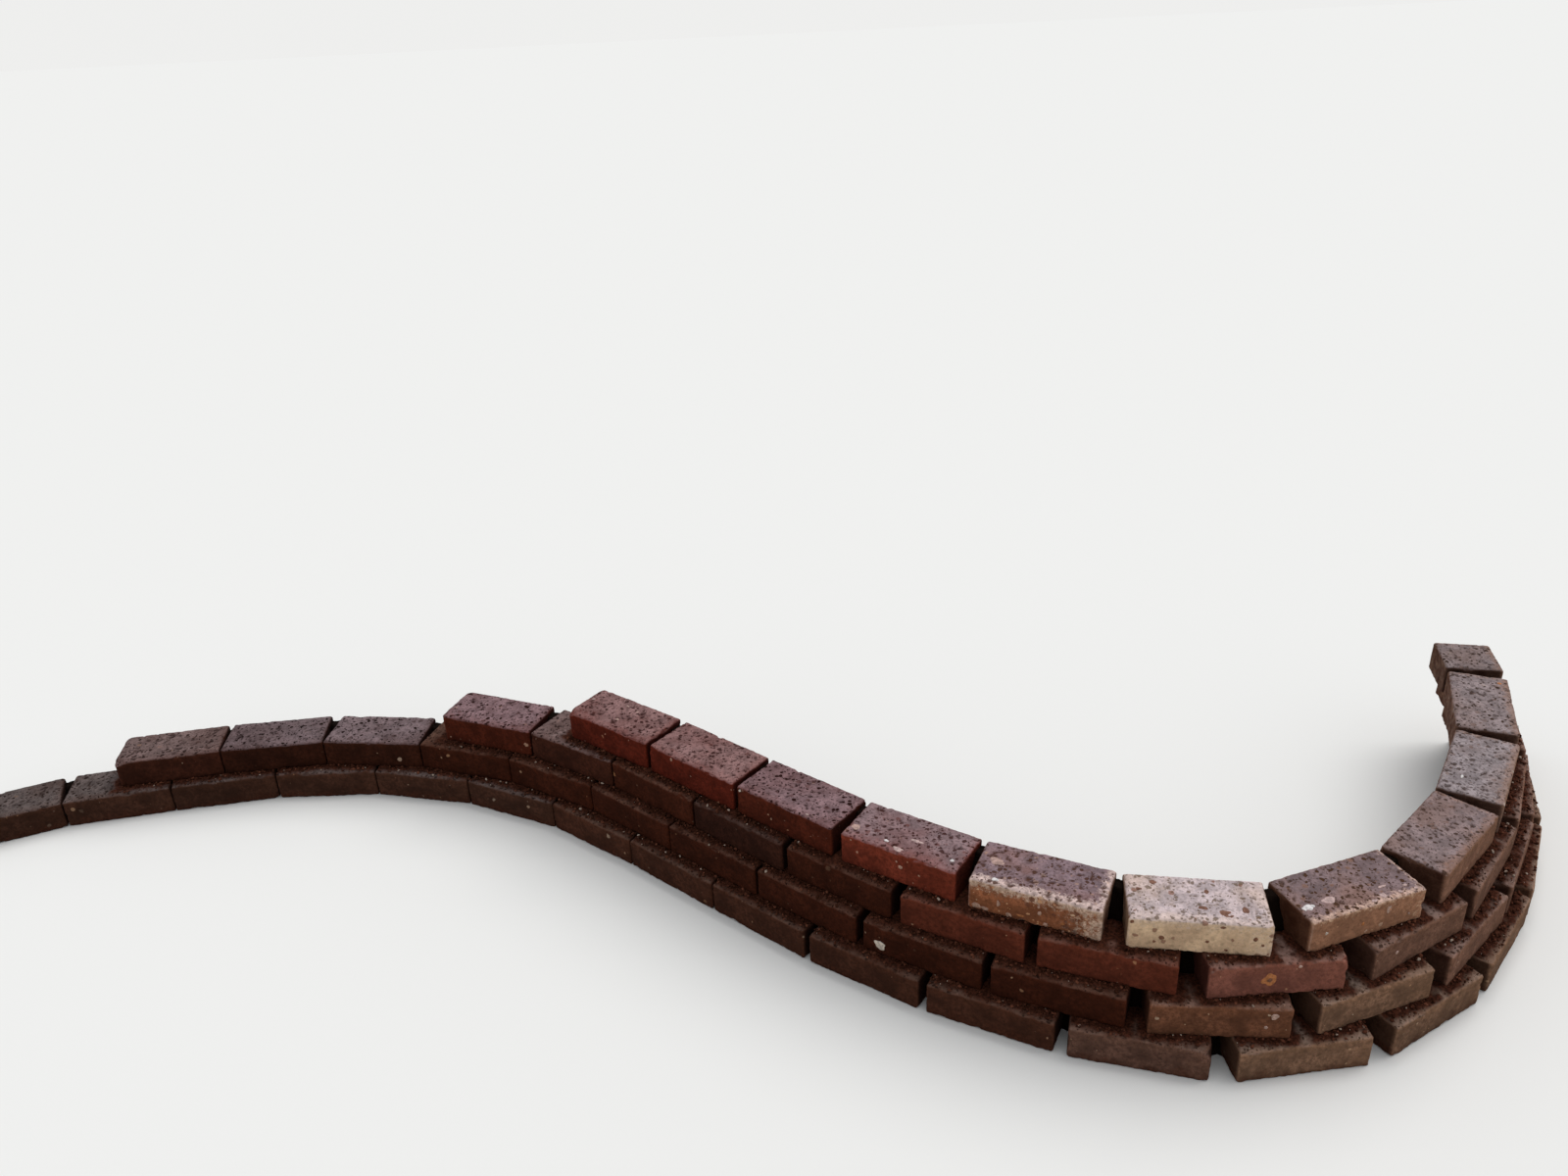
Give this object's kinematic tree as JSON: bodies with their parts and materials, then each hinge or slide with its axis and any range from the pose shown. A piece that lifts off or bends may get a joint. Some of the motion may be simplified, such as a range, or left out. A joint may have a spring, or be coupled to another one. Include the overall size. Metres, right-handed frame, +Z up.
{
  "type": "garden edging wall of dry-laid stone blocks",
  "caption": "Low winding garden edging wall of large sawn tuff blocks, laid dry in stepped courses that are set back as they rise.",
  "frame": {"origin": "centre of the wall's bounding box, at the underside of the base course", "axes": "+X along the wall's longest extent, from its low stepped end to its full-height end; +Y towards the bank that it holds; +Z up"},
  "size_m": [5.661, 1.751, 0.42],
  "materials": {
    "dusty_brown_tuff": "sawn porous stone, weathered and dusty",
    "dark_brown_tuff": "sawn porous stone, dark and damp",
    "red_brown_tuff": "sawn porous stone, weathered",
    "rust_red_tuff": "sawn porous stone, freshly worn",
    "tan_tuff": "sawn porous stone, pale and sandy",
    "grey_brown_tuff": "sawn porous stone, weathered grey"
  },
  "bodies": {
    "root": {"base_pair_01": "dusty_brown_tuff", "base_pair_02": "dusty_brown_tuff", "base_pair_03": "dusty_brown_tuff", "base_pair_04": "dusty_brown_tuff", "base_pair_05": "dusty_brown_tuff", "base_pair_06": "dusty_brown_tuff", "base_pair_07": "dusty_brown_tuff", "base_pair_08": "dusty_brown_tuff", "base_pair_09": "dusty_brown_tuff", "second_pair_01": "dark_brown_tuff", "second_pair_02": "dark_brown_tuff", "second_pair_03": "dark_brown_tuff", "second_pair_04": "dark_brown_tuff", "second_pair_05": "dark_brown_tuff", "second_pair_06": "red_brown_tuff", "second_pair_07": "dark_brown_tuff", "second_pair_08": "dark_brown_tuff", "third_block_01": "red_brown_tuff", "third_block_02": "dark_brown_tuff", "third_block_03": "dark_brown_tuff", "third_block_04": "dark_brown_tuff", "third_block_05": "dark_brown_tuff", "third_block_06": "red_brown_tuff", "third_block_07": "red_brown_tuff", "third_block_08": "red_brown_tuff", "third_block_09": "red_brown_tuff", "third_block_10": "red_brown_tuff", "third_block_11": "red_brown_tuff", "third_block_12": "red_brown_tuff", "third_block_13": "red_brown_tuff", "top_block_01": "red_brown_tuff", "top_block_02": "red_brown_tuff", "top_block_03": "red_brown_tuff", "top_block_04": "rust_red_tuff", "top_block_05": "tan_tuff", "top_block_06": "tan_tuff", "top_block_07": "grey_brown_tuff", "top_block_08": "grey_brown_tuff", "top_block_09": "grey_brown_tuff", "top_block_10": "grey_brown_tuff", "top_block_11": "grey_brown_tuff"}
  },
  "joints": []
}
